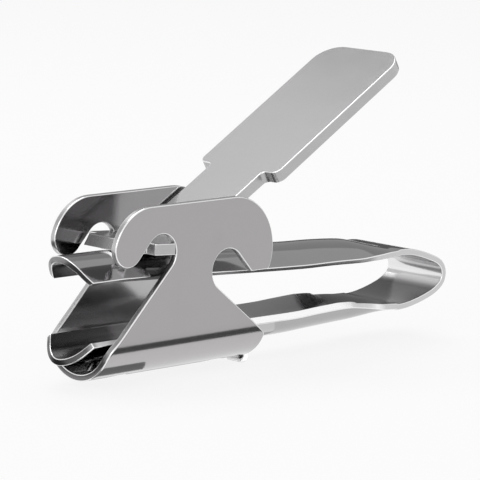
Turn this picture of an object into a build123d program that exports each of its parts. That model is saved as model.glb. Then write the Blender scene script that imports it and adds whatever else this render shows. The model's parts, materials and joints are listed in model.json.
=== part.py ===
from build123d import *
import math
import os

os.makedirs("parts", exist_ok=True)

# Seed sheller pliers: a hairpin pair of spring tongs held in a U shaped yoke,
# squeezed by a bent lever. X runs from the jaws to the spring loop, Y across
# the tool and Z up. Heights are measured from the underside of the yoke's web,
# and the whole tool is lifted at the end to stand on its hook tab.

# Sheet thicknesses
yoke_sheet = 1.5
lever_sheet = 2.5
tongs_sheet = 1.2

# Tongs: strip, jaws and heights of the outer crowns at the jaws
strip_width = 17.4
jaw_tip_x = -57.8
jaw_nose_length = 5.2
jaw_nose_margin = 0.1
upper_crown_height = 27.9
lower_crown_height = 4.1

# Tongs: along each arm, share of its length, share of its fall from the jaws
# to the loop, and half the angle that the trough's arc spans
upper_arm_shares = [
    (0.0, 0.0, 75.0),
    (0.124, 0.0, 75.0),
    (0.373, 0.224, 68.5),
    (0.676, 0.507, 59.0),
    (0.776, 0.604, 53.3),
    (0.875, 0.701, 47.5),
    (0.91, 0.78, 34.0),
    (0.94, 0.88, 19.5),
    (0.97, 0.96, 7.0),
]
lower_arm_shares = [
    (0.0, 0.0, 74.0),
    (0.124, 0.0, 74.0),
    (0.373, -0.08, 74.0),
    (0.545, -0.2, 79.0),
    (0.66, -0.2, 79.0),
    (0.73, -0.04, 81.0),
    (0.831, 0.16, 77.0),
    (0.855, 0.22, 70.0),
    (0.879, 0.28, 63.0),
    (0.92, 0.44, 43.0),
    (0.95, 0.68, 22.0),
    (0.978, 0.9, 8.0),
]

# Tongs: spring loop
loop_top_height = 21.2
loop_bottom_height = 6.6
loop_tip_x = 57.8
loop_tip_height = 13.35
loop_tip_radius = 3.8
loop_shoulder_radius = 17.0
loop_upper_run = 7.0
loop_lower_run = 5.2
seam_gap = 0.08

# Tongs: hook tab, lanced from the lower arm and curled forward behind the web
tab_width = 4.8
tab_setback = 3.6
tab_curl_radius = 1.6
tab_curl_angle = 140.0
tab_reach = 2.8
tab_window_length = 6.5

# Lever: front plate and ears, from the pivot
pivot_x = -37.5
ear_setback = 0.4
ear_rise = 0.98
ear_length = 6.2
ear_clearance = 0.14
ear_corner_radius = 0.6
lever_nose_lead = 6.3
lever_nose_bevel = 1.5
lever_nose_radius = 1.0
lever_side_clearance = 0.9
lever_heel_setback = 9.8
lever_heel_clearance = 0.12
lever_bend_radius = 3.0

# Lever: inclined paddle, measured from the bend along its top face
paddle_angle = 30.6
paddle_length = 74.4
paddle_half_width = 12.35
paddle_corner_radius = 6.0
shoulder_clearance = 1.67
shoulder_outer_share = 0.47
shoulder_inner_share = 0.28

# Yoke: overall
yoke_side_clearance = 0.3
yoke_rise = 10.6

# Yoke: front hook over the lever's ears
hook_radius = 10.7
hook_tip_radius = 4.0
hook_throat = 1.49
hook_tip_bearing = 169.4
front_slant_angle = 45.4
front_corner_height = 6.8

# Yoke: rear lobe and rear notch
lobe_setback = 22.0
lobe_radius = 12.2
lobe_depth = 17.2
lobe_corner_radius = 1.3
lobe_toe_radius = 0.8
rear_notch_lead = 1.8
rear_notch_drop = 16.1
rear_notch_radius = 4.7
rear_lobe_angle = 47.0
rear_slant_angle = 40.0
rear_corner_height = 5.9
web_corner_radius = 1.5

# Yoke: dimples pressed up from the web to carry the lower arm
dimple_inset = 9.0
dimple_base_radius = 4.5
dimple_top_radius = 2.0
dimple_clearance = 0.05

# Length by which cutting solids run past what they cut
overrun = 5.0


def polar(centre, radius, degrees):
    angle = math.radians(degrees)
    return (centre[0] + radius * math.cos(angle), centre[1] + radius * math.sin(angle))


def distance(start, end):
    return math.hypot(end[0] - start[0], end[1] - start[1])


def bearing(start, end):
    return math.degrees(math.atan2(end[1] - start[1], end[0] - start[0]))


def side_prism(face, half_width):
    return extrude(Plane.XZ * face, amount=half_width, both=True)


def round_corner(face, point, radius):
    corner = face.vertices().sort_by_distance(Vector(point[0], point[1], 0))[0]
    return fillet(corner, radius)


# Spring loop: two slanted runs, each from a shoulder's corner to the tip's arc

def loop_corners():
    tip = (loop_tip_x - loop_tip_radius, loop_tip_height)
    upper = (tip[0] - loop_upper_run, loop_top_height)
    lower = (tip[0] - loop_lower_run, loop_bottom_height)
    upper_slope = -bearing(upper, tip) - half_spread(upper, tip)
    lower_slope = bearing(lower, tip) - half_spread(lower, tip)
    spread = math.radians(upper_slope + lower_slope) / 2
    apex = polar(tip, loop_tip_radius / math.sin(spread), (lower_slope - upper_slope) / 2)
    return apex, upper, lower, upper_slope, lower_slope


def half_spread(corner, tip):
    return math.degrees(math.asin(loop_tip_radius / distance(corner, tip)))


def loop_start():
    apex, upper, lower, upper_slope, lower_slope = loop_corners()
    upper_start = upper[0] - loop_shoulder_radius * math.tan(math.radians(upper_slope) / 2)
    lower_start = lower[0] - loop_shoulder_radius * math.tan(math.radians(lower_slope) / 2)
    return min(upper_start, lower_start)


def loop_outline():
    apex, upper, lower = loop_corners()[:3]
    start = loop_start() - overrun
    outline = Polyline(
        (start, loop_bottom_height), lower, apex, upper, (start, loop_top_height), close=True
    )
    face = round_corner(make_face(outline), apex, loop_tip_radius)
    face = round_corner(face, upper, loop_shoulder_radius)
    return round_corner(face, lower, loop_shoulder_radius)


def make_loop_halves():
    outline = loop_outline()
    reach = loop_tip_x - loop_start() + overrun
    ahead = Pos(loop_start(), 0) * Rectangle(reach, upper_crown_height, align=(Align.MIN, Align.MIN))
    seam = Pos(loop_start(), loop_tip_height) * Rectangle(reach, seam_gap, align=(Align.MIN, Align.CENTER))
    band = (outline - offset(outline, -tongs_sheet)) & ahead
    lower, upper = (band - seam).faces().sort_by(Axis.Y)
    return side_prism(lower, strip_width / 2), side_prism(upper, strip_width / 2)


# Arms: troughs whose arc flattens into the loop

def arm_stations(shares, front_height, loop_height):
    length = loop_start() - jaw_tip_x
    rise = loop_height - front_height
    return [(jaw_tip_x + along * length, front_height + fall * rise, angle) for along, fall, angle in shares]


def upper_stations():
    return arm_stations(upper_arm_shares, upper_crown_height, loop_top_height)


def lower_stations():
    return arm_stations(lower_arm_shares, lower_crown_height, loop_bottom_height)


def crown_at(stations, x):
    for near, far in zip(stations, stations[1:]):
        if x <= far[0]:
            slope = (far[1] - near[1]) / (far[0] - near[0])
            return near[1] + (x - near[0]) * slope, math.degrees(math.atan(slope))
    return stations[-1][1], 0


def trough_radius(half_angle):
    return strip_width / 2 / math.radians(half_angle) + tongs_sheet / 2


def across(x):
    return Plane(origin=(x, 0, 0), x_dir=(0, 1, 0), z_dir=(1, 0, 0))


def trough_section(x, crown, half_angle, up):
    outer = trough_radius(half_angle)
    inner = outer - tongs_sheet
    centre = (0, crown - up * outer)
    start = 90 * up - half_angle
    end = 90 * up + half_angle
    outline = Curve() + [
        CenterArc(centre, outer, start, 2 * half_angle),
        Line(polar(centre, outer, end), polar(centre, inner, end)),
        CenterArc(centre, inner, end, -2 * half_angle),
        Line(polar(centre, inner, start), polar(centre, outer, start)),
    ]
    return across(x) * make_face(outline)


def flat_section(x, crown, up):
    half = strip_width / 2
    inner = crown - up * tongs_sheet
    outline = Polyline((half, crown), (-half, crown), (-half, inner), (half, inner), close=True)
    return across(x) * make_face(outline)


def jaw_plan(half_angle):
    half_width = trough_radius(half_angle) * math.sin(math.radians(half_angle)) + jaw_nose_margin
    body = Rectangle(loop_start() - jaw_tip_x, strip_width + overrun, align=(Align.MIN, Align.CENTER))
    return Pos(jaw_tip_x + jaw_nose_length, 0) * (Ellipse(jaw_nose_length, half_width) + body)


def make_arm(stations, loop_height, up):
    sections = [trough_section(x, crown, angle, up) for x, crown, angle in stations]
    sections.append(flat_section(loop_start(), loop_height, up))
    plan = jaw_plan(stations[0][2])
    return loft(sections, ruled=True) & extrude(plan, amount=upper_crown_height + overrun)


def make_tab():
    leg_front = yoke_corners()["rear"][0] + tab_setback
    leg_rear = leg_front + tongs_sheet
    crown = crown_at(lower_stations(), leg_rear)[0]
    centre = (leg_rear - tab_curl_radius, 0)
    leg = Pos(leg_front, 0) * Rectangle(tongs_sheet, crown + tongs_sheet / 2, align=(Align.MIN, Align.MIN))
    far = 2 * tab_curl_radius
    swept = make_face(Polyline(
        (0, 0), (far, 0), (far, -far), (-far, -far), polar((0, 0), far, -tab_curl_angle), close=True
    ))
    curl = Circle(tab_curl_radius) - Circle(tab_curl_radius - tongs_sheet)
    side = leg + Pos(*centre) * (curl & swept)
    round_end = Pos(leg_rear - tab_reach + tab_width / 2, 0) * (
        Circle(tab_width / 2) + Rectangle(tab_width, tab_width, align=(Align.MIN, Align.CENTER))
    )
    plan = Pos(0, 0, -tab_width) * extrude(round_end, amount=tab_width + lower_crown_height + overrun)
    window = Pos(leg_rear, 0, 0) * Box(
        tab_window_length, tab_width, 2 * (lower_crown_height + overrun), align=(Align.MIN, Align.CENTER, Align.CENTER)
    )
    return side_prism(side, tab_width / 2) & plan, window


def make_tongs():
    upper = make_arm(upper_stations(), loop_top_height, 1)
    lower = make_arm(lower_stations(), loop_bottom_height, -1)
    loop_lower, loop_upper = make_loop_halves()
    tab, window = make_tab()
    return upper + loop_upper, lower - window + tab + loop_lower


# Lever: lies on the upper arm's crown, so its ears set the pivot's height

def pivot_place():
    crown = crown_at(upper_stations(), pivot_x + ear_setback)[0]
    return (pivot_x, crown + lever_heel_clearance + lever_sheet / 2 - ear_rise)


def heel_place():
    x = pivot_x + lever_heel_setback
    return (x, crown_at(upper_stations(), x)[0] + lever_heel_clearance + lever_sheet)


def lever_side():
    front = crown_at(upper_stations(), pivot_x)[1]
    top_heel = heel_place()
    miter = lever_sheet / math.cos(math.radians(paddle_angle - front) / 2)
    bottom_heel = polar(top_heel, miter, (paddle_angle + front) / 2 - 90)
    top_end = polar(top_heel, paddle_length, paddle_angle)
    bottom_end = polar(top_end, lever_sheet, paddle_angle - 90)
    slope = math.tan(math.radians(front))
    nose_x = pivot_x - lever_nose_lead
    nose_bottom = (nose_x, bottom_heel[1] + (nose_x - bottom_heel[0]) * slope)
    nose_top = (nose_x + lever_nose_bevel, top_heel[1] + (nose_x + lever_nose_bevel - top_heel[0]) * slope)
    face = make_face(Polyline(nose_bottom, nose_top, top_heel, top_end, bottom_end, bottom_heel, close=True))
    face = round_corner(face, top_heel, lever_bend_radius)
    return round_corner(face, bottom_heel, lever_bend_radius + lever_sheet)


def lever_half_width():
    return yoke_half_width() - yoke_sheet - lever_side_clearance


def lever_front_plan():
    nose_x = pivot_x - lever_nose_lead
    length = lever_nose_lead + lever_heel_setback
    half = lever_half_width()
    plate = Pos(nose_x, 0) * Rectangle(length, 2 * half, align=(Align.MIN, Align.CENTER))
    for side in (-1, 1):
        plate = round_corner(plate, (nose_x, side * half), lever_nose_radius)
    ears = RectangleRounded(ear_length, 2 * yoke_half_width(), ear_corner_radius)
    return plate + Pos(pivot_x + ear_setback, 0) * ears


def shoulder_place():
    pivot = pivot_place()
    heel = heel_place()
    lobe = lobe_centre()
    reach = distance(pivot, lobe) + lobe_radius + shoulder_clearance
    along = polar((0, 0), 1, paddle_angle)
    offset_x, offset_z = heel[0] - pivot[0], heel[1] - pivot[1]
    run = offset_x * along[0] + offset_z * along[1]
    return math.sqrt(run ** 2 + reach ** 2 - offset_x ** 2 - offset_z ** 2) - run


def paddle_plan():
    half = lever_half_width()
    shoulder = shoulder_place()
    step = paddle_half_width - half
    neck_length = overrun + shoulder + paddle_corner_radius
    neck = Pos(-overrun, 0) * Rectangle(neck_length, 2 * half, align=(Align.MIN, Align.CENTER))
    pad_length = paddle_length - shoulder
    pad = Rectangle(pad_length, 2 * paddle_half_width, align=(Align.MIN, Align.CENTER))
    plan = neck + Pos(shoulder, 0) * pad
    for side in (-1, 1):
        plan = round_corner(plan, (paddle_length, side * paddle_half_width), paddle_corner_radius)
        plan = round_corner(plan, (shoulder, side * paddle_half_width), step * shoulder_outer_share)
        plan = round_corner(plan, (shoulder, side * half), step * shoulder_inner_share)
    return plan


def make_lever():
    heel = heel_place()
    side = side_prism(lever_side(), paddle_half_width + overrun)
    front = side & extrude(lever_front_plan(), amount=upper_crown_height + yoke_rise)
    along = polar((0, 0), 1, paddle_angle)
    incline = Plane(origin=(heel[0], 0, heel[1]), x_dir=(along[0], 0, along[1]), z_dir=(-along[1], 0, along[0]))
    return front + (side & extrude(incline * paddle_plan(), amount=2 * lever_sheet, both=True))


# Yoke: a U channel cut to the outline of its side plates

def yoke_half_width():
    return strip_width / 2 + yoke_side_clearance + yoke_sheet


def yoke_top():
    return pivot_place()[1] + yoke_rise


def lobe_centre():
    return (pivot_x + lobe_setback, yoke_top() - lobe_radius)


def front_notch_radius():
    return math.hypot(ear_length / 2 + ear_setback, lever_sheet / 2 + ear_rise) + ear_clearance


def rear_notch():
    return (lobe_centre()[0] - rear_notch_lead, yoke_top() - rear_notch_drop)


def yoke_corners():
    # where the two slanted edges end, near the web
    front = polar(pivot_place(), front_notch_radius(), front_slant_angle - 90)
    rear = polar(rear_notch(), rear_notch_radius, 270 - rear_slant_angle)
    front_run = (front[1] - front_corner_height) / math.tan(math.radians(front_slant_angle))
    rear_run = (rear[1] - rear_corner_height) / math.tan(math.radians(rear_slant_angle))
    return {
        "front_notch": front,
        "rear_notch": rear,
        "front": (front[0] - front_run, front_corner_height),
        "rear": (rear[0] + rear_run, rear_corner_height),
    }


def yoke_profile():
    top = yoke_top()
    pivot = pivot_place()
    throat = front_notch_radius()
    corners = yoke_corners()

    # hook: its tip circle stands off the notch, its back circle touches tip and top
    tip = polar(pivot, throat + hook_tip_radius + hook_throat, hook_tip_bearing)
    back_drop = tip[1] - (top - hook_radius)
    back_x = tip[0] + math.sqrt((hook_radius - hook_tip_radius) ** 2 - back_drop ** 2)
    back = (back_x, top - hook_radius)
    back_angle = bearing(back, tip) % 360
    lean = math.degrees(math.acos((hook_tip_radius + throat) / distance(tip, pivot)))
    tip_angle = bearing(tip, pivot) - lean
    front_in_angle = front_slant_angle - 90
    front_out_angle = tip_angle + 180

    # rear lobe: its corner circle touches the big circle and the flat foot
    lobe = lobe_centre()
    foot = top - lobe_depth
    corner_drop = lobe[1] - foot - lobe_corner_radius
    corner_run = math.sqrt((lobe_radius - lobe_corner_radius) ** 2 - corner_drop ** 2)
    corner = (lobe[0] + corner_run, foot + lobe_corner_radius)
    corner_angle = bearing(lobe, corner)

    # rear notch: tangent to the lobe's slanted foot and to the slant below
    notch = rear_notch()
    notch_in_angle = 90 - rear_lobe_angle
    notch_out_angle = 270 - rear_slant_angle
    notch_in = polar(notch, rear_notch_radius, notch_in_angle)
    toe = (notch_in[0] + (notch_in[1] - foot) / math.tan(math.radians(rear_lobe_angle)), foot)

    outline = Curve() + [
        Line((back_x, top), (lobe[0], top)),
        CenterArc(lobe, lobe_radius, 90, corner_angle - 90),
        CenterArc(corner, lobe_corner_radius, corner_angle, -90 - corner_angle),
        Line((corner[0], foot), toe),
        Line(toe, notch_in),
        CenterArc(notch, rear_notch_radius, notch_in_angle, notch_out_angle - notch_in_angle),
        Line(corners["rear_notch"], corners["rear"]),
        Line(corners["rear"], (corners["rear"][0], -overrun)),
        Line((corners["rear"][0], -overrun), (corners["front"][0], -overrun)),
        Line((corners["front"][0], -overrun), corners["front"]),
        Line(corners["front"], corners["front_notch"]),
        CenterArc(pivot, throat, front_in_angle, front_out_angle - front_in_angle),
        Line(polar(pivot, throat, front_out_angle), polar(tip, hook_tip_radius, tip_angle)),
        CenterArc(tip, hook_tip_radius, tip_angle, back_angle - 360 - tip_angle),
        CenterArc(back, hook_radius, back_angle, 90 - back_angle),
    ]
    face = make_face(outline)
    face = round_corner(face, toe, min(lobe_toe_radius, corner[0] - toe[0]))
    face = round_corner(face, corners["rear"], web_corner_radius)
    return round_corner(face, corners["front"], web_corner_radius)


def channel_section(half_width):
    bend = Circle(half_width)
    wall = Rectangle(2 * half_width, yoke_top(), align=(Align.CENTER, Align.MIN))
    return Pos(0, yoke_half_width()) * (bend + wall)


def add_dimple(yoke, x):
    top = crown_at(lower_stations(), x)[0] - dimple_clearance
    seat = (Align.CENTER, Align.CENTER, Align.MAX)
    pip = Cone(dimple_base_radius, dimple_top_radius, top, align=seat)
    channel = extrude(Plane.YZ * channel_section(yoke_half_width()), amount=2 * dimple_base_radius)
    pressed = Pos(x, 0, top) * pip & Pos(x - dimple_base_radius, 0, 0) * channel
    hollow = Pos(x, 0, top - yoke_sheet) * pip
    return yoke + pressed - hollow


def make_yoke():
    corners = yoke_corners()
    section = channel_section(yoke_half_width()) - channel_section(yoke_half_width() - yoke_sheet)
    start = corners["front"][0] - hook_radius
    end = corners["rear"][0] + lobe_radius
    channel = Pos(start, 0, 0) * extrude(Plane.YZ * section, amount=end - start)
    yoke = channel & side_prism(yoke_profile(), yoke_half_width() + overrun)
    yoke = add_dimple(yoke, corners["front"][0] + dimple_inset)
    return add_dimple(yoke, corners["rear"][0] - dimple_inset)


upper_arm, lower_arm = make_tongs()
nodes = {
    "yoke": make_yoke(),
    "lever": make_lever(),
    "upper_arm": upper_arm,
    "lower_arm": lower_arm,
}
for name, solid in nodes.items():
    export_step(Pos(0, 0, tab_curl_radius) * solid, f"parts/{name}.step")
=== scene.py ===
import bpy
import bmesh
import json
import math
from mathutils import Matrix, Vector

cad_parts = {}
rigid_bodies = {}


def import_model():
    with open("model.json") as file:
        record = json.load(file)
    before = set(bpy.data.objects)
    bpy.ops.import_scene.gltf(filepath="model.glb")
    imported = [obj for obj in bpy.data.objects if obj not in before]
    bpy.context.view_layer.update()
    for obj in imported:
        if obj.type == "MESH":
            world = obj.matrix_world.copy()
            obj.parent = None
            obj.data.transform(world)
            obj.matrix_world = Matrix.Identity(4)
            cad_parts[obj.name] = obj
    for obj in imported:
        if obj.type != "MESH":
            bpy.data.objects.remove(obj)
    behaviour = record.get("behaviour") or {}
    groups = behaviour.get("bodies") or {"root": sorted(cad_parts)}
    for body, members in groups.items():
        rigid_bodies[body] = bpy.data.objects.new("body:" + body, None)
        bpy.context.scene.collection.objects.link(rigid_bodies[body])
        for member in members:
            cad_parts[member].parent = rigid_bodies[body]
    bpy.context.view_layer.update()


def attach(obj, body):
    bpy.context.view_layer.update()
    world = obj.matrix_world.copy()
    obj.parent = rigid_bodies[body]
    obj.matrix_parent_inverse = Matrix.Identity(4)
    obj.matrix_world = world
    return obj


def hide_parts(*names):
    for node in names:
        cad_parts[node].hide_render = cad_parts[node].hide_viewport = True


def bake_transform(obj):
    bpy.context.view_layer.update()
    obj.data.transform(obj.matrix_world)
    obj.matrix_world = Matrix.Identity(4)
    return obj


bpy.ops.object.select_all(action="SELECT")
bpy.ops.object.delete()
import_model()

# pieces are drawn in millimetres, then lifted onto the floor and brought to metres
drawing = {
    "scale": 0.001,
    "lift": 1.6,
    # the seed that becomes a point, what counts as the same place, and how near points are welded
    "seed": 0.01,
    "near": 0.001,
    "weld": 0.01,
    "wideWeld": 0.02,
    # degrees between the points of a swept arc, the rounding of cut edges and the smoothed angle
    "arcStep": 5,
    "bevelSteps": 3,
    "bevelAngle": 40,
    "smoothAngle": 35,
}


def setMode(mode):
    bpy.ops.object.mode_set(mode=mode)
    if mode == "EDIT":
        bpy.ops.mesh.select_mode(type="VERT")


def beginPiece(name):
    bpy.ops.object.select_all(action="DESELECT")
    bpy.ops.mesh.primitive_plane_add(size=1)
    piece = bpy.context.object
    piece.name = name
    piece.data.name = name
    setMode("EDIT")
    bpy.ops.mesh.select_all(action="SELECT")
    bpy.ops.mesh.delete(type="VERT")
    return piece


def dropPoint(place):
    # one selected vertex, from which a chain is drawn
    bpy.ops.mesh.select_all(action="DESELECT")
    bpy.ops.mesh.primitive_plane_add(size=drawing["seed"], location=place)
    bpy.ops.mesh.merge(type="CENTER")


def editMesh():
    return bmesh.from_edit_mesh(bpy.context.object.data)


def pickPoints(test):
    # selects the shown vertices that pass the test
    bpy.ops.mesh.select_all(action="DESELECT")
    shape = editMesh()
    for vertex in shape.verts:
        if not vertex.hide and test(vertex.co):
            vertex.select = True
    shape.select_flush(True)
    bmesh.update_edit_mesh(bpy.context.object.data)


def pickFaces(test):
    # the same for faces, by their middles
    bpy.ops.mesh.select_all(action="DESELECT")
    bpy.ops.mesh.select_mode(type="FACE")
    shape = editMesh()
    for face in shape.faces:
        if not face.hide and test(face.calc_center_median()):
            face.select = True
    shape.select_flush(True)
    bmesh.update_edit_mesh(bpy.context.object.data)


def weldPoints(reach):
    bpy.ops.mesh.select_all(action="SELECT")
    bpy.ops.mesh.remove_doubles(threshold=reach)


def sweepPath(start, heading, moves, plan=False, arcStep=drawing["arcStep"]):
    # carries the selection along straight runs and arcs; a positive arc turns left
    # start is (x, z) in side view or (x, y) in plan
    u, v = start
    for move in moves:
        angle = math.radians(heading)
        if move[0] == "go":
            du, dv = move[1] * math.cos(angle), move[1] * math.sin(angle)
            shift = (du, dv, 0) if plan else (du, 0, dv)
            bpy.ops.mesh.extrude_region_move(TRANSFORM_OT_translate={"value": shift})
            u, v = u + du, v + dv
        elif move[0] == "turn":
            heading += move[1]
        else:
            radius, turn = move[1], move[2]
            side = 1 if turn > 0 else -1
            cu = u - side * radius * math.sin(angle)
            cv = v + side * radius * math.cos(angle)
            count = max(3, math.ceil(abs(turn) / arcStep))
            centre = (cu, cv, 0) if plan else (cu, 0, cv)
            axis = (0, 0, -1) if plan else (0, 1, 0)
            bpy.ops.mesh.spin(steps=count, angle=math.radians(turn), center=centre, axis=axis)
            heading += turn
            angle = math.radians(heading)
            u = cu + side * radius * math.sin(angle)
            v = cv - side * radius * math.cos(angle)
    return u, v, heading


def closeOutline():
    # the traced chain, closed into one flat face
    weldPoints(drawing["weld"])
    bpy.ops.mesh.select_all(action="SELECT")
    bpy.ops.mesh.edge_face_add()


def faceOutward(probe, direction):
    # normals made to agree, then turned so that the face nearest the probe looks that way
    bpy.ops.mesh.select_mode(type="VERT")
    bpy.ops.mesh.select_all(action="SELECT")
    bpy.ops.mesh.normals_make_consistent(inside=False)
    shape = editMesh()
    nearest = min(shape.faces, key=lambda f: (f.calc_center_median() - Vector(probe)).length)
    if nearest.normal.dot(Vector(direction)) < 0:
        bpy.ops.mesh.flip_normals()


def applyModifier(piece, kind, **values):
    modifier = piece.modifiers.new(kind.title(), kind)
    for key, value in values.items():
        setattr(modifier, key, value)
    bpy.ops.object.modifier_apply(modifier=modifier.name)


def thicken(piece, sheet, face, edge, inner=None):
    # cut faces take the edge finish, rounded corners the burnished one brightened as a painted highlight,
    # inner faces their own
    for name in (face, edge, "burnishAndHighlightCorner", inner or face):
        piece.data.materials.append(steels[name])
    applyModifier(piece, "SOLIDIFY", thickness=sheet, offset=-1, use_even_offset=True,
                  use_quality_normals=True, material_offset_rim=1, material_offset=3)


def roundEdges(piece, width):
    applyModifier(piece, "BEVEL", width=width, segments=drawing["bevelSteps"], limit_method="ANGLE",
                  angle_limit=math.radians(drawing["bevelAngle"]), use_clamp_overlap=False,
                  harden_normals=False, miter_outer="MITER_SHARP", material=2)


def finishPiece(piece, smoothAngle=drawing["smoothAngle"]):
    # stands the drawing on the floor, in metres, with its place in its mesh
    bpy.ops.object.select_all(action="DESELECT")
    piece.select_set(True)
    bpy.context.view_layer.objects.active = piece
    bpy.ops.transform.translate(value=(0, 0, drawing["lift"]))
    bpy.ops.transform.resize(value=(drawing["scale"],) * 3, center_override=(0, 0, 0))
    bpy.ops.object.transform_apply(location=True, rotation=True, scale=True)
    bpy.ops.object.shade_smooth_by_angle(angle=math.radians(smoothAngle))
    applyModifier(piece, "WEIGHTED_NORMAL", mode="FACE_AREA", weight=100, keep_sharp=True)
    print(piece.name, len(piece.data.polygons), "faces")


tongs = {
    "sheet": 1.45,
    "halfWidth": 8.7,
    # the strip keeps its width at this depth under its outer skin
    "neutralDepth": 0.6,
    "flankSteps": 8,
    "crownSteps": 24,
    # how much of the trough's half turn its flanks lean
    "upperLean": 0.76,
    "lowerLean": 0.8,
    # the lower rims are trimmed nearer upright: length added inside, and where it fades in and out
    "rimTrim": 0.9,
    "trimFade": (-20.0, -10.0, 22.0, 33.0),
    # how far from its worked-out place a rim point may lie
    "rimReach": 0.2,
    # the upper strip leans a little before the loop: where from, where most, where to, degrees
    "stripLean": (28.0, 37.5, 41.421, 1.8),
    "tipX": -57.8,
    # how far the tip's corners stand back, and how the cut bends toward them
    "upperNose": (3.8, 2.1),
    "lowerNose": (3.8, 1.6),
    "edgeRound": 0.18,
    # rows of the drawn trough: first place along X, spacing, count; the last stands clear of the loop
    "rowRuns": [(-50.6, 5.3, 9), (-2.0, 2.0, 12), (21.8, 1.1, 19)],
    "rowMargin": 0.4,
    # half turns, in degrees, that the trough runs out to and that its last row is flattened from
    "endTurn": 3.0,
    "flatTurn": 1.5,
    "flatReach": 0.3,
    # stations along X: height of the outer crown and half the turn of the trough
    "upper": [(-50.6, 27.9, 75.0), (-45.3, 27.9, 75.0), (-20.24, 26.4, 68.5), (10.28, 24.5, 59.0),
              (20.35, 24.1, 54.5), (29.4, 23.45, 48.0), (32.8, 22.8, 37.0), (36.0, 22.0, 24.0),
              (39.0, 21.3, 11.0)],
    "lower": [(-50.6, 4.1, 62.0), (-45.3, 4.1, 62.0), (-20.24, 3.9, 61.0), (-2.92, 3.6, 62.0),
              (8.66, 3.55, 62.0), (15.71, 3.8, 62.5), (25.4, 4.15, 60.0), (29.8, 4.35, 50.5),
              (33.6, 4.8, 36.0), (36.4, 5.45, 21.0), (38.8, 6.15, 9.0)],
    "loopTop": (41.421, 20.95),
    "loopBottom": (41.007, 6.5),
    "loopPath": [("arc", 25.074, -14.828), ("arc", 54.269, -7.208), ("arc", 6.811, -23.408),
                 ("arc", 4.0, -97.0), ("arc", 11.589, -19.01), ("arc", 45.448, -9.258),
                 ("arc", 29.071, -9.288)],
    "loopStep": 4.5,
    # the hook tab and the window it leaves: ends along X, half widths and height of what is taken
    "tabX": -3.765,
    "windowEnd": 4.435,
    "windowHalf": 2.3,
    "tabHalf": 2.55,
    "tabReach": 1.5,
    "tabBend": 0.5,
    "tabDrop": 0.6,
    "tabCurl": 0.15,
    "tabCurlTurn": 140.0,
    "tabStep": 15,
    "curlStep": 14,
    # share of the tab's width that its end keeps
    "tabNarrow": 0.6,
    # the face nearest this place looks upward
    "outsideProbe": (0, 0, 25.2),
}


def stationSlope(stations, k, j):
    # level at both ends, elsewhere the slope from one neighbour to the other
    if j <= 0 or j >= len(stations) - 1:
        return 0.0
    before, after = stations[j - 1], stations[j + 1]
    return (after[k] - before[k]) / (after[0] - before[0])


def easedStation(stations, x):
    # a smooth curve through the stations' heights and angles
    places = [s[0] for s in stations]
    i = max(0, min(len(places) - 2, sum(1 for p in places if p <= x) - 1))
    span = places[i + 1] - places[i]
    t = (x - places[i]) / span
    made = []
    for k in (1, 2):
        a, b = stations[i][k], stations[i + 1][k]
        ma, mb = stationSlope(stations, k, i) * span, stationSlope(stations, k, i + 1) * span
        made.append((2 * t**3 - 3 * t**2 + 1) * a + (t**3 - 2 * t**2 + t) * ma
                    + (3 * t**2 - 2 * t**3) * b + (t**3 - t**2) * mb)
    return made


def troughShape(halfTurn, leanShare):
    # a round crown between two straight flanks, whose rims are where an even arc would end
    turn = math.radians(halfTurn)
    radius = tongs["halfWidth"] / turn + tongs["neutralDepth"]
    width, depth = radius * math.sin(turn), radius * (1 - math.cos(turn))
    lean = leanShare * turn
    crownRadius = (width * math.tan(lean) - depth) / (1 / math.cos(lean) - 1)
    flank = (width - crownRadius * math.sin(lean)) / math.cos(lean)
    return width, depth, lean, crownRadius, flank


def leanOf(up):
    return tongs["upperLean"] if up > 0 else tongs["lowerLean"]


def troughRow(x, crown, halfTurn, up):
    width, depth, lean, radius, flank = troughShape(halfTurn, leanOf(up))
    step = flank / tongs["flankSteps"]
    dropPoint((x, -width, crown - up * depth))
    for rise in (1, -1):
        for _ in range(tongs["flankSteps"]):
            bpy.ops.mesh.extrude_region_move(TRANSFORM_OT_translate={
                "value": (0, step * math.cos(lean), rise * up * step * math.sin(lean))})
        if rise > 0:
            bpy.ops.mesh.spin(steps=tongs["crownSteps"], angle=2 * lean,
                              center=(x, 0, crown - up * radius), axis=(up, 0, 0))


def flatRow(x, height):
    troughRow(x, height, tongs["flatTurn"], 1)
    pickPoints(lambda p: abs(p.x - x) < drawing["near"] and abs(p.z - height) < tongs["flatReach"])
    bpy.ops.transform.resize(value=(1, 1, 0), center_override=(x, 0, height))


def cutNose(halfTurn, nose, up):
    # the rounded tip of the strip, cut along its own width
    _, _, lean, radius, flank = troughShape(halfTurn, leanOf(up))
    whole = radius * lean + flank
    half = tongs["crownSteps"] // 2
    for k in range(1, half + tongs["flankSteps"] + 1):
        if k <= half:
            along = radius * lean * k / half
            y = radius * math.sin(lean * k / half)
        else:
            run = flank * (k - half) / tongs["flankSteps"]
            along = radius * lean + run
            y = radius * math.sin(lean) + run * math.cos(lean)
        back = nose[0] * (along / whole) ** nose[1]
        pickPoints(lambda p: p.x < tongs["tipX"] + drawing["near"]
                   and abs(abs(p.y) - y) < drawing["near"])
        bpy.ops.transform.translate(value=(back, 0, 0))


def armPlaces(last, extraRows):
    places = {start + spacing * i for start, spacing, count in tongs["rowRuns"] for i in range(count)}
    return [x for x in sorted(places | set(extraRows)) if x < last - tongs["rowMargin"]]


def armShape(stations, loopEnd, x):
    # crown height and half turn of the trough at a place along the arm
    return easedStation(stations + [(*loopEnd, tongs["endTurn"])], x)


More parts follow.
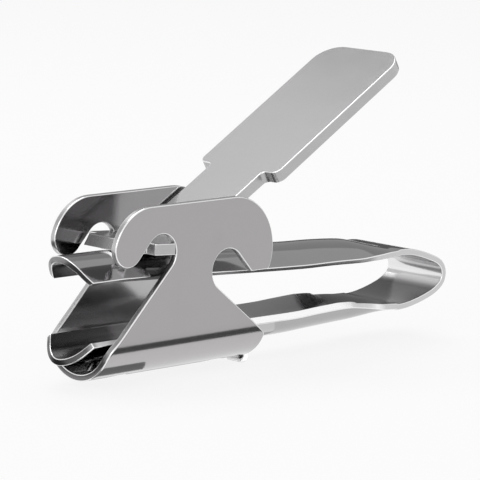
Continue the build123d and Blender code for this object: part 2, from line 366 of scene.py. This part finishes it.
def leanStrip(x, crown):
    # tips one row of the upper strip about its crown
    start, most, end, mostAngle = tongs["stripLean"]
    share = min((x - start) / (most - start), (end - x) / (end - most))
    if share > 0:
        angle = math.radians(mostAngle) * math.sin(math.pi / 2 * share) ** 2
        pickPoints(lambda p: abs(p.x - x) < drawing["near"])
        bpy.ops.transform.rotate(value=angle, orient_axis="X", center_override=(x, 0, crown))


def drawArm(stations, nose, loopEnd, up, extraRows=()):
    # rows of the trough from the jaw's tip to the flat strip at the loop, bridged into one skin
    _, tipCrown, tipTurn = stations[0]
    troughRow(tongs["tipX"], tipCrown, tipTurn, up)
    cutNose(tipTurn, nose, up)
    for x in armPlaces(loopEnd[0], extraRows):
        crown, halfTurn = armShape(stations, loopEnd, x)
        troughRow(x, crown, halfTurn, up)
        if up > 0:
            leanStrip(x, crown)
    flatRow(*loopEnd)
    bpy.ops.mesh.select_all(action="SELECT")
    bpy.ops.mesh.bridge_edge_loops(type="SINGLE")


def trimRims(extraRows):
    # the inner lip of the lower rims, drawn outward along the flanks
    stations, loopEnd = tongs["lower"], tongs["loopBottom"]
    rise, full, hold, end = tongs["trimFade"]
    for x in armPlaces(loopEnd[0], extraRows):
        fade = min(1.0, (end - x) / (end - hold), (x - rise) / (full - rise))
        if fade <= 0:
            continue
        crown, halfTurn = armShape(stations, loopEnd, x)
        width, depth, lean, _, _ = troughShape(halfTurn, tongs["lowerLean"])
        y = width - tongs["sheet"] * math.sin(lean)
        z = crown + depth + tongs["sheet"] * math.cos(lean)
        run = tongs["rimTrim"] * fade
        for side in (-1, 1):
            pickPoints(lambda p: math.dist(p, (x, side * y, z)) < tongs["rimReach"])
            bpy.ops.transform.translate(
                value=(0, side * run * math.cos(lean), run * math.sin(lean)))


def makeTab():
    # the hook tab: the window's metal, bent down and curled forward
    crown, _ = easedStation(tongs["lower"], tongs["tabX"])
    top = crown + tongs["tabReach"]
    pickFaces(lambda c: tongs["tabX"] < c.x < tongs["windowEnd"]
              and abs(c.y) < tongs["windowHalf"] and c.z < top)
    bpy.ops.mesh.delete(type="FACE")
    bpy.ops.mesh.select_mode(type="VERT")
    pickPoints(lambda p: abs(p.x - tongs["tabX"]) < drawing["near"]
               and abs(p.y) < tongs["tabHalf"] and p.z < top)
    # the curved row is bent down and made straight, and narrows toward its curled end
    bend = [("arc", tongs["tabBend"], -90.0), ("go", tongs["tabDrop"])]
    x, z, _ = sweepPath((tongs["tabX"], crown), 0, bend, arcStep=tongs["tabStep"])
    bpy.ops.transform.resize(value=(0, 1, 0), center_override=(x, 0, z))
    curl = [("go", z), ("arc", tongs["tabCurl"], -tongs["tabCurlTurn"])]
    sweepPath((x, z), -90, curl, arcStep=tongs["curlStep"])
    bpy.ops.transform.resize(value=(1, tongs["tabNarrow"], 1), center_override=(0, 0, 0))


def makeTongs():
    piece = beginPiece("springTongs")
    drawArm(tongs["upper"], tongs["upperNose"], tongs["loopTop"], 1)
    pickPoints(lambda p: abs(p.x - tongs["loopTop"][0]) < drawing["near"])
    sweepPath(tongs["loopTop"], 0, tongs["loopPath"], arcStep=tongs["loopStep"])
    bpy.ops.mesh.select_all(action="SELECT")
    bpy.ops.mesh.hide()
    # the window behind the hook tab takes two rows of its own
    windowRows = (tongs["tabX"], tongs["windowEnd"])
    drawArm(tongs["lower"], tongs["lowerNose"], tongs["loopBottom"], -1, windowRows)
    bpy.ops.mesh.reveal(select=False)
    weldPoints(drawing["wideWeld"])
    makeTab()
    faceOutward(tongs["outsideProbe"], (0, 0, 1))
    setMode("OBJECT")
    thicken(piece, tongs["sheet"], "tongsSteel", "tongsCutEdge", "tongsInnerLitAndShadedSteel")
    setMode("EDIT")
    trimRims(windowRows)
    setMode("OBJECT")
    roundEdges(piece, tongs["edgeRound"])
    finishPiece(piece)
    return piece


lever = {
    "sheet": 2.5,
    "heel": (-27.7, 29.466),
    "frontFall": 3.425,
    "paddleRise": 30.6,
    "bendRadius": 3.0,
    "halfWidth": 8.1,
    "noseBevel": 1.5,
    # the upper edge of the nose lies before this place and above this depth
    "nosePick": (-15.0, -1.0),
    # the paddle is a little thicker than the strip that rests on the arm
    "paddleExtra": 0.35,
    "edgeRound": 0.17,
    "smoothAngle": 30,
    # degrees between the points of arcs
    "paddleStep": 6,
    "frontStep": 10,
    "bendStep": 3.5,
    # the face nearest this place looks upward
    "outsideProbe": (-8, 0, 0),
}
lever["bendTurn"] = lever["frontFall"] + lever["paddleRise"]
lever["bendReach"] = lever["bendRadius"] * math.tan(math.radians(lever["bendTurn"] / 2))
# outlines seen from above, half way round from the bend line; the rest is the same, turned round
lever["frontHalf"] = [("go", 4.89), ("turn", 90), ("go", 2.2), ("arc", 0.6, -90), ("go", 5.0),
                      ("arc", 0.6, -90), ("go", 2.2), ("turn", 90), ("go", 3.16), ("arc", 1.0, -90),
                      ("go", 7.1)]
lever["paddleHalf"] = [("go", 24.36), ("arc", 1.19, -90), ("go", 1.06), ("arc", 2.0, 90),
                       ("go", 39.93), ("arc", 6.0, 90), ("go", 6.35)]


def bothHalves(half):
    return half + half[::-1]


def turnAboutBend(degrees):
    bpy.ops.transform.rotate(value=math.radians(degrees), orient_axis="Y", center_override=(0, 0, 0))


def thickenPaddle():
    # moves the paddle's underside away from its top
    tilt = math.radians(lever["bendTurn"])
    below = Vector((math.sin(tilt), 0, -math.cos(tilt)))
    pickPoints(lambda p: p.x > lever["bendRadius"] and p.dot(below) > lever["sheet"] / 2)
    bpy.ops.transform.translate(value=below * lever["paddleExtra"])


def makeLever():
    piece = beginPiece("squeezeLever")
    reach, half = lever["bendReach"], lever["halfWidth"]
    # paddle, traced flat and then tilted about the heel
    dropPoint((reach, -half, 0))
    sweepPath((reach, -half), 0, bothHalves(lever["paddleHalf"]), plan=True, arcStep=lever["paddleStep"])
    closeOutline()
    bpy.ops.mesh.select_all(action="SELECT")
    turnAboutBend(lever["bendTurn"])
    bpy.ops.mesh.hide()
    # front plate with its two ears
    dropPoint((-reach, -half, 0))
    sweepPath((-reach, -half), 180, bothHalves(lever["frontHalf"]), plan=True, arcStep=lever["frontStep"])
    closeOutline()
    pickPoints(lambda p: abs(p.x + reach) < drawing["near"])
    bend = [("arc", lever["bendRadius"], lever["bendTurn"])]
    sweepPath((-reach, 0), 0, bend, arcStep=lever["bendStep"])
    bpy.ops.mesh.reveal(select=False)
    weldPoints(drawing["wideWeld"])
    faceOutward(lever["outsideProbe"], (0, 0, 1))
    setMode("OBJECT")
    thicken(piece, lever["sheet"], "leverSteel", "leverCutEdge")
    setMode("EDIT")
    noseX, noseDepth = lever["nosePick"]
    pickPoints(lambda p: p.x < noseX and p.z > noseDepth)
    bpy.ops.transform.translate(value=(lever["noseBevel"], 0, 0))
    thickenPaddle()
    bpy.ops.mesh.select_all(action="SELECT")
    turnAboutBend(-lever["frontFall"])
    bpy.ops.transform.translate(value=(lever["heel"][0], 0, lever["heel"][1]))
    setMode("OBJECT")
    roundEdges(piece, lever["edgeRound"])
    finishPiece(piece, lever["smoothAngle"])
    return piece


yoke = {
    "sheet": 1.5,
    "halfWidth": 10.5,
    "edgeRound": 0.24,
    "webSteps": 72,
    "bendSteps": 36,
    # the plate's outline from the rear slant, round the lobe, top and hook, to the front slant
    "plateStart": (-9.645, 10.5),
    "plateHeading": 142.5,
    "platePath": [("go", 13.255), ("arc", 4.7, -189.5), ("go", 5.54), ("arc", 0.8, 47.0), ("go", 4.253),
                  ("arc", 1.3, 70.16), ("arc", 12.2, 109.84), ("go", 25.188), ("arc", 10.7, 73.53),
                  ("arc", 4.0, 153.84), ("go", 5.189), ("arc", 4.29, -181.97), ("go", 20.064)],
    # corners of the web: place along X, height, slope of the slanted edge, rounding
    "frontCorner": (-52.182, 6.8, 45.4, 6.0),
    "rearCorner": (-4.302, 6.4, -37.5, 1.5),
    # how far from the plate's foot, and from a row of the bend, a point of it may lie
    "footReach": 0.05,
    "rowReach": 0.002,
    # dimples in the web: places along X, reach of the pushed points, spread, height, and web depth
    "dimples": (-43.18, -14.07),
    "dimpleTop": 1.7,
    "dimpleSpread": 3.0,
    "dimpleRise": 2.5,
    "webDepth": 1.0,
    # the face nearest this place looks sideways, away from the arms
    "outsideProbe": (-28, -10.5, 30),
}


def webEnd(corner, z):
    # where the web ends at a height: slanted above the corner, upright below, rounded between
    x, height, slope, radius = corner
    side = 1 if slope > 0 else -1
    lean = math.radians(abs(slope))
    reach = radius * math.tan((math.pi / 2 - lean) / 2)
    if z <= height - reach:
        return x
    if z >= height + reach * math.sin(lean):
        return x + side * (z - height) / math.tan(lean)
    rise = z - (height - reach)
    return x + side * (radius - math.sqrt(max(0, radius ** 2 - rise ** 2)))


def bendFoot():
    # the plate's foot is divided and carried round a quarter turn to the middle of the web
    half, steps = yoke["halfWidth"], yoke["bendSteps"]
    pickPoints(lambda p: abs(p.z - half) < yoke["footReach"])
    bpy.ops.transform.resize(value=(1, 1, 0), center_override=(0, 0, half))
    bpy.ops.mesh.subdivide(number_cuts=yoke["webSteps"] - 1)
    pickPoints(lambda p: abs(p.z - half) < drawing["near"])
    bpy.ops.mesh.spin(steps=steps, angle=math.pi / 2, center=(0, 0, half), axis=(-1, 0, 0))
    # each row of the bend is stretched to where the web ends at its height
    left, right = webEnd(yoke["frontCorner"], half), webEnd(yoke["rearCorner"], half)
    for k in range(1, steps + 1):
        z = half * (1 - math.sin(math.pi / 2 * k / steps))
        newLeft, newRight = webEnd(yoke["frontCorner"], z), webEnd(yoke["rearCorner"], z)
        pickPoints(lambda p: abs(p.z - z) < yoke["rowReach"] and p.z < half - drawing["near"])
        stretch = (newRight - newLeft) / (right - left)
        bpy.ops.transform.resize(value=(stretch, 1, 1), center_override=(left, 0, 0))
        bpy.ops.transform.translate(value=(newLeft - left, 0, 0))


def pressDimple(x):
    # pushes the web up at one place, fading smoothly around it
    pickPoints(lambda p: math.hypot(p.x - x, p.y) < yoke["dimpleTop"] and p.z < yoke["webDepth"])
    bpy.ops.transform.translate(
        value=(0, 0, yoke["dimpleRise"]), use_proportional_edit=True,
        proportional_edit_falloff="SMOOTH", proportional_size=yoke["dimpleSpread"],
        use_proportional_connected=True)


def makeYoke():
    piece = beginPiece("yokeChannel")
    dropPoint((yoke["plateStart"][0], 0, yoke["plateStart"][1]))
    sweepPath(yoke["plateStart"], yoke["plateHeading"], yoke["platePath"])
    closeOutline()
    bpy.ops.mesh.select_all(action="SELECT")
    bpy.ops.transform.translate(value=(0, -yoke["halfWidth"], 0))
    bendFoot()
    setMode("OBJECT")
    applyModifier(piece, "MIRROR", use_axis=(False, True, False), merge_threshold=drawing["weld"])
    setMode("EDIT")
    weldPoints(drawing["weld"])
    for x in yoke["dimples"]:
        pressDimple(x)
    faceOutward(yoke["outsideProbe"], (0, -1, 0))
    setMode("OBJECT")
    thicken(piece, yoke["sheet"], "yokeSteel", "yokeCutEdge", "yokeInnerLitAndShadedSteel")
    roundEdges(piece, yoke["edgeRound"])
    finishPiece(piece)
    return piece


# the pattern that every finish shares
pattern = {
    # polishing grain: scale along X, Y and Z, detail and roughness
    "grainScale": (60, 2600, 2600),
    "grainShape": (3.0, 0.6),
    # soft waves of rolled sheet, and fingermarks: scale, detail, roughness
    "waves": (85.0, 1.0, 0.4),
    "smudges": (140.0, 4.0, 0.6),
    "smudgeContrast": 3.0,
    "smudgeShift": -1.45,
    "smudgeSoftness": 0.1,
    # scratches: scale, turn, half width of a line, and where they gather
    "scratchScale": (90, 520, 520),
    "scratchTurn": (0.1, 0.15, 0.2),
    "scratchWidth": 0.012,
    "gatherScale": 0.6,
    "gatherStart": 0.55,
    # how much each raises the surface or dulls it
    "waveHeight": 6.0,
    "scratchDepth": 0.5,
    "scratchDulls": 0.6,
    "grainDulls": 0.4,
    "bumpDistance": 0.00004,
    # how sharply a stretch of painted light or shade fades, per metre
    "fade": 400.0,
}


def newGroup(name, inputs, outputs):
    # inputs are (label, kind, value), outputs (label, kind)
    group = bpy.data.node_groups.new(name, "ShaderNodeTree")
    for label, kind, value in inputs:
        socket = group.interface.new_socket(name=label, in_out="INPUT", socket_type="NodeSocket" + kind)
        if value is not None:
            socket.default_value = value
    for label, kind in outputs:
        group.interface.new_socket(name=label, in_out="OUTPUT", socket_type="NodeSocket" + kind)
    start = group.nodes.new("NodeGroupInput")
    end = group.nodes.new("NodeGroupOutput")
    return group, start, end


def mathNode(tree, operation, *values, clamp=False):
    # each value is a number or another node's output
    node = tree.nodes.new("ShaderNodeMath")
    node.operation = operation
    node.use_clamp = clamp
    for slot, value in enumerate(values):
        if hasattr(value, "links"):
            tree.links.new(value, node.inputs[slot])
        else:
            node.inputs[slot].default_value = value
    return node.outputs[0]


def noiseNode(tree, vector, scale, detail=2.0, roughness=0.5):
    node = tree.nodes.new("ShaderNodeTexNoise")
    tree.links.new(vector, node.inputs["Vector"])
    node.inputs["Scale"].default_value = scale
    node.inputs["Detail"].default_value = detail
    node.inputs["Roughness"].default_value = roughness
    return node.outputs["Fac"]


def mappingNode(tree, vector, **values):
    node = tree.nodes.new("ShaderNodeMapping")
    for label, value in values.items():
        node.inputs[label].default_value = value
    tree.links.new(vector, node.inputs["Vector"])
    return node.outputs[0]


def makePolishGroup():
    # fine lengthwise polishing grain, soft waves of rolled sheet, fingermarks and stray scratches
    group, start, end = newGroup(
        "polishedSheet",
        [("Vector", "Vector", None), ("Grain", "Float", 0.3), ("Waves", "Float", 0.3),
         ("Smudges", "Float", 0.3), ("Scratches", "Float", 0.3)],
        [("Height", "Float"), ("Rough Mask", "Float"), ("Tone Mask", "Float")])
    links = group.links
    vector = start.outputs["Vector"]
    stretched = mappingNode(group, vector, Scale=pattern["grainScale"])
    grain = noiseNode(group, stretched, 1.0, *pattern["grainShape"])
    waves = noiseNode(group, vector, *pattern["waves"])
    smudge = noiseNode(group, vector, *pattern["smudges"])
    smudge = mathNode(group, "MULTIPLY_ADD", smudge, pattern["smudgeContrast"], pattern["smudgeShift"])
    smudge = mathNode(group, "SMOOTH_MAX", smudge, 0.0, pattern["smudgeSoftness"])
    # scratches are the edges of long thin cells, kept only where they gather
    drawnOut = mappingNode(group, vector, Scale=pattern["scratchScale"], Rotation=pattern["scratchTurn"])
    cells = group.nodes.new("ShaderNodeTexVoronoi")
    cells.feature = "DISTANCE_TO_EDGE"
    cells.inputs["Scale"].default_value = 1.0
    links.new(drawnOut, cells.inputs["Vector"])
    line = mathNode(group, "LESS_THAN", cells.outputs["Distance"], pattern["scratchWidth"])
    gathered = noiseNode(group, drawnOut, pattern["gatherScale"])
    gathered = mathNode(group, "GREATER_THAN", gathered, pattern["gatherStart"])
    line = mathNode(group, "MULTIPLY", line, gathered)
    line = mathNode(group, "MULTIPLY", line, start.outputs["Scratches"])
    # how high the surface stands
    height = mathNode(group, "MULTIPLY", grain, start.outputs["Grain"])
    waveHeight = mathNode(group, "MULTIPLY", start.outputs["Waves"], pattern["waveHeight"])
    height = mathNode(group, "MULTIPLY_ADD", waves, waveHeight, height)
    cut = mathNode(group, "MULTIPLY", line, pattern["scratchDepth"])
    height = mathNode(group, "SUBTRACT", height, cut)
    links.new(height, end.inputs["Height"])
    # how rough it is
    dirt = mathNode(group, "MULTIPLY", smudge, start.outputs["Smudges"])
    rough = mathNode(group, "ADD", dirt, mathNode(group, "MULTIPLY", line, pattern["scratchDulls"]))
    grainRough = mathNode(group, "MULTIPLY", start.outputs["Grain"], pattern["grainDulls"])
    rough = mathNode(group, "MULTIPLY_ADD", grain, grainRough, rough)
    links.new(rough, end.inputs["Rough Mask"])
    # how far its tone turns to the dull one
    tone = mathNode(group, "ADD", dirt, mathNode(group, "MULTIPLY", grain, start.outputs["Grain"]))
    links.new(tone, end.inputs["Tone Mask"])
    return group


def makePaintedLightGroup():
    # painted light and shade: 1 between two places along X and below a height, with soft ends
    group, start, end = newGroup(
        "paintedLightStretch",
        [("Vector", "Vector", None), ("From X", "Float", -1.0), ("To X", "Float", 1.0),
         ("Top Z", "Float", 1.0)],
        [("Mask", "Float")])
    split = group.nodes.new("ShaderNodeSeparateXYZ")
    group.links.new(start.outputs["Vector"], split.inputs[0])

    def inside(larger, smaller):
        gap = mathNode(group, "SUBTRACT", larger, smaller)
        return mathNode(group, "MULTIPLY", gap, pattern["fade"], clamp=True)

    rise = inside(split.outputs["X"], start.outputs["From X"])
    fall = inside(start.outputs["To X"], split.outputs["X"])
    below = inside(start.outputs["Top Z"], split.outputs["Z"])
    mask = mathNode(group, "MULTIPLY", mathNode(group, "MULTIPLY", rise, fall), below)
    group.links.new(mask, end.inputs["Mask"])
    return group


polishGroup = makePolishGroup()
paintedLightGroup = makePaintedLightGroup()


def groupNode(tree, group, vector):
    node = tree.nodes.new("ShaderNodeGroup")
    node.node_tree = group
    tree.links.new(vector, node.inputs["Vector"])
    return node


def blendColour(tree, share, first, second):
    # two colours mixed by a node's output; each is a colour or another node's output
    node = tree.nodes.new("ShaderNodeMix")
    node.data_type = "RGBA"
    tree.links.new(share, node.inputs["Factor"])
    for label, colour in (("A", first), ("B", second)):
        if hasattr(colour, "links"):
            tree.links.new(colour, node.inputs[label])
        else:
            node.inputs[label].default_value = (*colour, 1)
    return node.outputs["Result"]


def clearTree(holder, outputKind):
    # an empty node tree with its output node
    holder.use_nodes = True
    tree = holder.node_tree
    tree.nodes.clear()
    return tree, tree.nodes.new(outputKind)


def steelFinish(name, look):
    material = bpy.data.materials.new(name)
    tree, output = clearTree(material, "ShaderNodeOutputMaterial")
    links = tree.links
    surface = tree.nodes.new("ShaderNodeBsdfPrincipled")
    links.new(surface.outputs[0], output.inputs["Surface"])
    surface.inputs["Metallic"].default_value = 1.0
    place = tree.nodes.new("ShaderNodeTexCoord").outputs["Object"]
    turned = mappingNode(tree, place, Rotation=(0, math.radians(look.get("grainTilt", 0)), 0))
    polish = groupNode(tree, polishGroup, turned)
    for label in ("Grain", "Waves", "Smudges", "Scratches"):
        polish.inputs[label].default_value = look[label.lower()]
    shade = blendColour(tree, polish.outputs["Tone Mask"], look["tone"], look["toneDull"])
    baseRough = look["rough"]
    # each stretch paints light or shade into the colour, and may change the roughness there
    for tone, reach, *ownRough in look.get("paintedLightRegions", ()):
        stretch = groupNode(tree, paintedLightGroup, place)
        for label, value in zip(("From X", "To X", "Top Z"), reach):
            stretch.inputs[label].default_value = value
        mask = stretch.outputs["Mask"]
        shade = blendColour(tree, mask, shade, tone)
        if ownRough:
            baseRough = mathNode(tree, "MULTIPLY_ADD", mask, ownRough[0] - look["rough"], baseRough)
    links.new(shade, surface.inputs["Base Color"])
    rough = mathNode(tree, "MULTIPLY_ADD", polish.outputs["Rough Mask"], look["roughSpread"], baseRough,
                     clamp=True)
    links.new(rough, surface.inputs["Roughness"])
    bump = tree.nodes.new("ShaderNodeBump")
    bump.inputs["Strength"].default_value = look["bump"]
    bump.inputs["Distance"].default_value = pattern["bumpDistance"]
    links.new(polish.outputs["Height"], bump.inputs["Height"])
    links.new(bump.outputs[0], surface.inputs["Normal"])
    return material


# stretches of painted light and shade: tone, (from X, to X, top Z), and roughness where it differs
finishes = {
    "tongsSteel": {
        "tone": (0.42, 0.415, 0.42), "toneDull": (0.35, 0.345, 0.35), "grain": 0.1, "waves": 0.35,
        "smudges": 0.2, "scratches": 0.15, "rough": 0.09, "roughSpread": 0.12, "bump": 0.2},
    "leverSteel": {
        "tone": (0.445, 0.44, 0.445), "toneDull": (0.39, 0.385, 0.39), "grain": 0.2, "waves": 0.5,
        "smudges": 0.25, "scratches": 0.2, "rough": 0.2, "roughSpread": 0.12, "bump": 0.2,
        # the grain follows the raised paddle, in degrees
        "grainTilt": 30.6},
    "yokeSteel": {
        "tone": (0.4, 0.39, 0.395), "toneDull": (0.35, 0.34, 0.345), "grain": 0.15, "waves": 0.2,
        "smudges": 0.2, "scratches": 0.15, "rough": 0.13, "roughSpread": 0.12, "bump": 0.2},
    "tongsCutEdge": {
        "tone": (0.62, 0.615, 0.62), "toneDull": (0.52, 0.515, 0.52), "grain": 0.4, "waves": 0.4,
        "smudges": 0.3, "scratches": 0.2, "rough": 0.2, "roughSpread": 0.2, "bump": 0.3,
        # painted light and shade on the cut edges: a darker stretch along both arms, a painted highlight
        # band along the lower arm's rims, painted shade at both jaw tips, a rougher painted highlight on
        # the lower jaw's rims and deep painted shade at its nose
        "paintedLightRegions": (((0.33, 0.325, 0.33), (-0.048, 0.034, 0.04)),
                    ((0.95, 0.945, 0.95), (-0.02, 0.037, 0.0175)),
                    ((0.28, 0.275, 0.28), (-0.07, -0.05, 0.04)),
                    ((0.95, 0.945, 0.95), (-0.056, -0.04, 0.0175), 0.6),
                    ((0.1, 0.098, 0.1), (-0.07, -0.0525, 0.0175)))},
    "leverCutEdge": {
        "tone": (0.5, 0.495, 0.5), "toneDull": (0.42, 0.415, 0.42), "grain": 0.4, "waves": 0.4,
        "smudges": 0.3, "scratches": 0.2, "rough": 0.25, "roughSpread": 0.2, "bump": 0.4},
    "yokeCutEdge": {
        "tone": (0.55, 0.545, 0.55), "toneDull": (0.42, 0.415, 0.42), "grain": 0.4, "waves": 0.4,
        "smudges": 0.3, "scratches": 0.2, "rough": 0.26, "roughSpread": 0.2, "bump": 0.4,
        # painted shade on the cut edges at the front end of the web, below the bend
        "paintedLightRegions": (((0.2, 0.195, 0.2), (-0.08, -0.044, 0.0105)),)},
    # a lighter copy of the tongs steel for the inner faces, with painted light and shade: a slightly
    # darker, rougher middle stretch, painted shade inside the lower jaw, painted light inside the loop's
    # far end and painted shade low in the loop and the lower strip before it
    "tongsInnerLitAndShadedSteel": {
        "tone": (0.54, 0.535, 0.54), "toneDull": (0.45, 0.445, 0.45), "grain": 0.15, "waves": 0.5,
        "smudges": 0.3, "scratches": 0.1, "rough": 0.2, "roughSpread": 0.12, "bump": 0.15,
        "paintedLightRegions": (((0.5, 0.495, 0.5), (-0.005, 0.0235, 0.03), 0.5),
                    ((0.26, 0.257, 0.26), (-0.08, -0.036, 0.0175)),
                    ((0.85, 0.845, 0.85), (0.0505, 0.08, 0.03)),
                    ((0.13, 0.127, 0.13), (0.0285, 0.0565, 0.0143)))},
    # painted shade: a darker copy of the yoke steel for its inner faces, with painted light on their
    # upper rear part and a lesser one all along their lower part
    "yokeInnerLitAndShadedSteel": {
        "tone": (0.25, 0.245, 0.25), "toneDull": (0.22, 0.215, 0.22), "grain": 0.15, "waves": 0.2,
        "smudges": 0.2, "scratches": 0.15, "rough": 0.13, "roughSpread": 0.12, "bump": 0.2,
        "paintedLightRegions": (((0.62, 0.615, 0.62), (-0.0345, 0.02, 0.08)),
                    ((0.45, 0.445, 0.45), (-0.08, 0.02, 0.0275)))},
    # a burnished finish for the rounded edges, made much brighter than the steel as a painted highlight
    # along every edge
    "burnishAndHighlightCorner": {
        "tone": (0.88, 0.875, 0.88), "toneDull": (0.75, 0.745, 0.75), "grain": 0.1, "waves": 0.3,
        "smudges": 0.2, "scratches": 0.1, "rough": 0.12, "roughSpread": 0.1, "bump": 0.1},
}
steels = {name: steelFinish(name, look) for name, look in finishes.items()}
print("finishes made")

tongsPiece = makeTongs()
leverPiece = makeLever()
yokePiece = makeYoke()

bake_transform(tongsPiece)
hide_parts("upper_arm", "lower_arm")
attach(leverPiece, "lever")
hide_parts("lever")
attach(yokePiece, "root")
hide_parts("yoke")
print("pieces placed")


studio = {
    "floorSize": 8,
    "floorTone": 0.9,
    # how far the floor turns to plain white where the background is seen
    "floorGlow": 0.85,
    # what the world gives as light, and how bright it is seen
    "worldLight": 0.55,
    "backgroundLevel": 1.0,
    # the point that cards stand around, and the one that lamps look at
    "cardCentre": (0, 0, 0.02),
    "lampAim": (0, 0, 0.03),
    # cards seen only in reflections: direction from that point, distance, width, height, level
    "cards": {
        "flankCard": ((0.70, -0.20, 0.66), 0.8, 0.6, 0.75, 0.62),
        "crownCard": ((0.70, 0.50, 0.40), 0.82, 0.72, 0.8, 0.42),
        "slantCard": ((-0.42, 0.65, 0.64), 0.8, 0.42, 0.42, 0.6),
        "horizonCard": ((0.64, 0.76, 0.06), 0.78, 0.9, 0.22, 0.12),
    },
    # painted shade and light on the floor, seen only in reflections: two corners and a level; each lies a
    # lift higher
    "patchLift": 0.0002,
    "patches": {
        "bendPaintedShade": ((-0.045, -0.0240), (0.018, -0.0163), 0.12),
        "bendGlow": ((-0.05, -0.0163), (0.010, 0.004), 1.12),
        "bendShade": ((-0.06, -0.0082), (-0.035, -0.0038), 0.25),
        "bendFade": ((-0.05, -0.0020), (0.010, 0.010), 0.62),
        "frontPaintedShade": ((-0.14, -0.012), (-0.062, 0.085), 0.12),
    },
    # soft lamps: place, size, power
    "lamps": {
        "overheadLamp": ((0.1, 0.35, 0.9), (0.7, 0.5), 3.0),
        "leftLamp": ((-0.8, -0.25, 0.5), (0.5, 0.5), 1.5),
    },
}


def backgroundRays(tree):
    # camera, glossy and transmission rays all see the same background
    paths = tree.nodes.new("ShaderNodeLightPath")
    seen = mathNode(tree, "MAXIMUM", paths.outputs["Is Camera Ray"], paths.outputs["Is Transmission Ray"])
    return mathNode(tree, "MAXIMUM", seen, paths.outputs["Is Glossy Ray"])


def addPlane(name, size, place=(0, 0, 0)):
    bpy.ops.object.select_all(action="DESELECT")
    bpy.ops.mesh.primitive_plane_add(size=size, location=place)
    plane = bpy.context.object
    plane.name = name
    return plane


def mixShaders(tree, share, first, second, output):
    mix = tree.nodes.new("ShaderNodeMixShader")
    tree.links.new(share, mix.inputs["Fac"])
    tree.links.new(first.outputs[0], mix.inputs[1])
    tree.links.new(second.outputs[0], mix.inputs[2])
    tree.links.new(mix.outputs[0], output.inputs["Surface"])


def makeFloor():
    floor = addPlane("studioFloor", studio["floorSize"])
    material = bpy.data.materials.new("paleFloor")
    tree, output = clearTree(material, "ShaderNodeOutputMaterial")
    paint = tree.nodes.new("ShaderNodeBsdfDiffuse")
    paint.inputs["Color"].default_value = (studio["floorTone"],) * 3 + (1,)
    glow = tree.nodes.new("ShaderNodeEmission")
    glow.inputs["Strength"].default_value = studio["backgroundLevel"]
    share = mathNode(tree, "MULTIPLY", backgroundRays(tree), studio["floorGlow"])
    mixShaders(tree, share, paint, glow, output)
    floor.data.materials.append(material)


def makeWorld():
    world = bpy.data.worlds.new("studioWorld")
    bpy.context.scene.world = world
    tree, output = clearTree(world, "ShaderNodeOutputWorld")
    shades = []
    for level in (studio["worldLight"], studio["backgroundLevel"]):
        shade = tree.nodes.new("ShaderNodeBackground")
        shade.inputs["Color"].default_value = (1, 1, 1, 1)
        shade.inputs["Strength"].default_value = level
        shades.append(shade)
    mixShaders(tree, backgroundRays(tree), *shades, output)


def reflectionOnly(card, level):
    # an even glow that only reflections see
    material = bpy.data.materials.new(card.name)
    tree, output = clearTree(material, "ShaderNodeOutputMaterial")
    glow = tree.nodes.new("ShaderNodeEmission")
    glow.inputs["Strength"].default_value = level
    tree.links.new(glow.outputs[0], output.inputs["Surface"])
    card.data.materials.append(material)
    for kind in ("camera", "diffuse", "transmission", "volume_scatter", "shadow"):
        setattr(card, "visible_" + kind, False)


def makeCards():
    for name, (direction, distance, wide, high, level) in studio["cards"].items():
        toward = Vector(direction).normalized()
        card = addPlane(name, 1, toward * distance + Vector(studio["cardCentre"]))
        card.scale = (wide, high, 1)
        card.rotation_euler = toward.to_track_quat("Z", "Y").to_euler()
        reflectionOnly(card, level)
    for i, (name, ((x0, y0), (x1, y1), level)) in enumerate(studio["patches"].items()):
        middle = ((x0 + x1) / 2, (y0 + y1) / 2, studio["patchLift"] * (i + 1))
        card = addPlane(name, 1, middle)
        card.scale = (x1 - x0, y1 - y0, 1)
        reflectionOnly(card, level)


def softLamp(name, place, size, power):
    bpy.ops.object.select_all(action="DESELECT")
    bpy.ops.object.light_add(type="AREA", location=place)
    lamp = bpy.context.object
    lamp.name = name
    lamp.data.shape = "RECTANGLE"
    lamp.data.size, lamp.data.size_y = size
    lamp.data.energy = power
    toward = Vector(studio["lampAim"]) - lamp.location
    lamp.rotation_euler = toward.to_track_quat("-Z", "Y").to_euler()


makeFloor()
makeWorld()
makeCards()
for lampName, (place, size, power) in studio["lamps"].items():
    softLamp(lampName, place, size, power)
print("studio made")

# where the photograph was taken from: metres, degrees, and millimetres for the lens
view = {
    "aim": (-0.0033, 0, 0.027805),
    "azimuth": -45.15,
    "elevation": 9.235,
    "roll": 1.649,
    "distance": 0.7,
    "lens": 232.89,
    "sensor": 36,
    "nearest": 0.01,
}
azimuth, elevation, roll = (math.radians(view[k]) for k in ("azimuth", "elevation", "roll"))
toCamera = Vector((math.sin(azimuth) * math.cos(elevation), -math.cos(azimuth) * math.cos(elevation),
                   math.sin(elevation)))
acrossView = Vector((math.cos(azimuth), math.sin(azimuth), 0))
upView = toCamera.cross(acrossView)
rolledAcross = math.cos(roll) * acrossView + math.sin(roll) * upView
rolledUp = -math.sin(roll) * acrossView + math.cos(roll) * upView
bpy.ops.object.camera_add()
camera = bpy.context.object
camera.name = "photoCamera"
camera.data.sensor_width = view["sensor"]
camera.data.lens = view["lens"]
camera.data.clip_start = view["nearest"]
turned = Matrix((rolledAcross, rolledUp, toCamera)).transposed().to_4x4()
camera.matrix_world = Matrix.Translation(Vector(view["aim"]) + view["distance"] * toCamera) @ turned
bpy.context.scene.camera = camera
bpy.context.scene.view_settings.view_transform = "Standard"
print("camera placed")
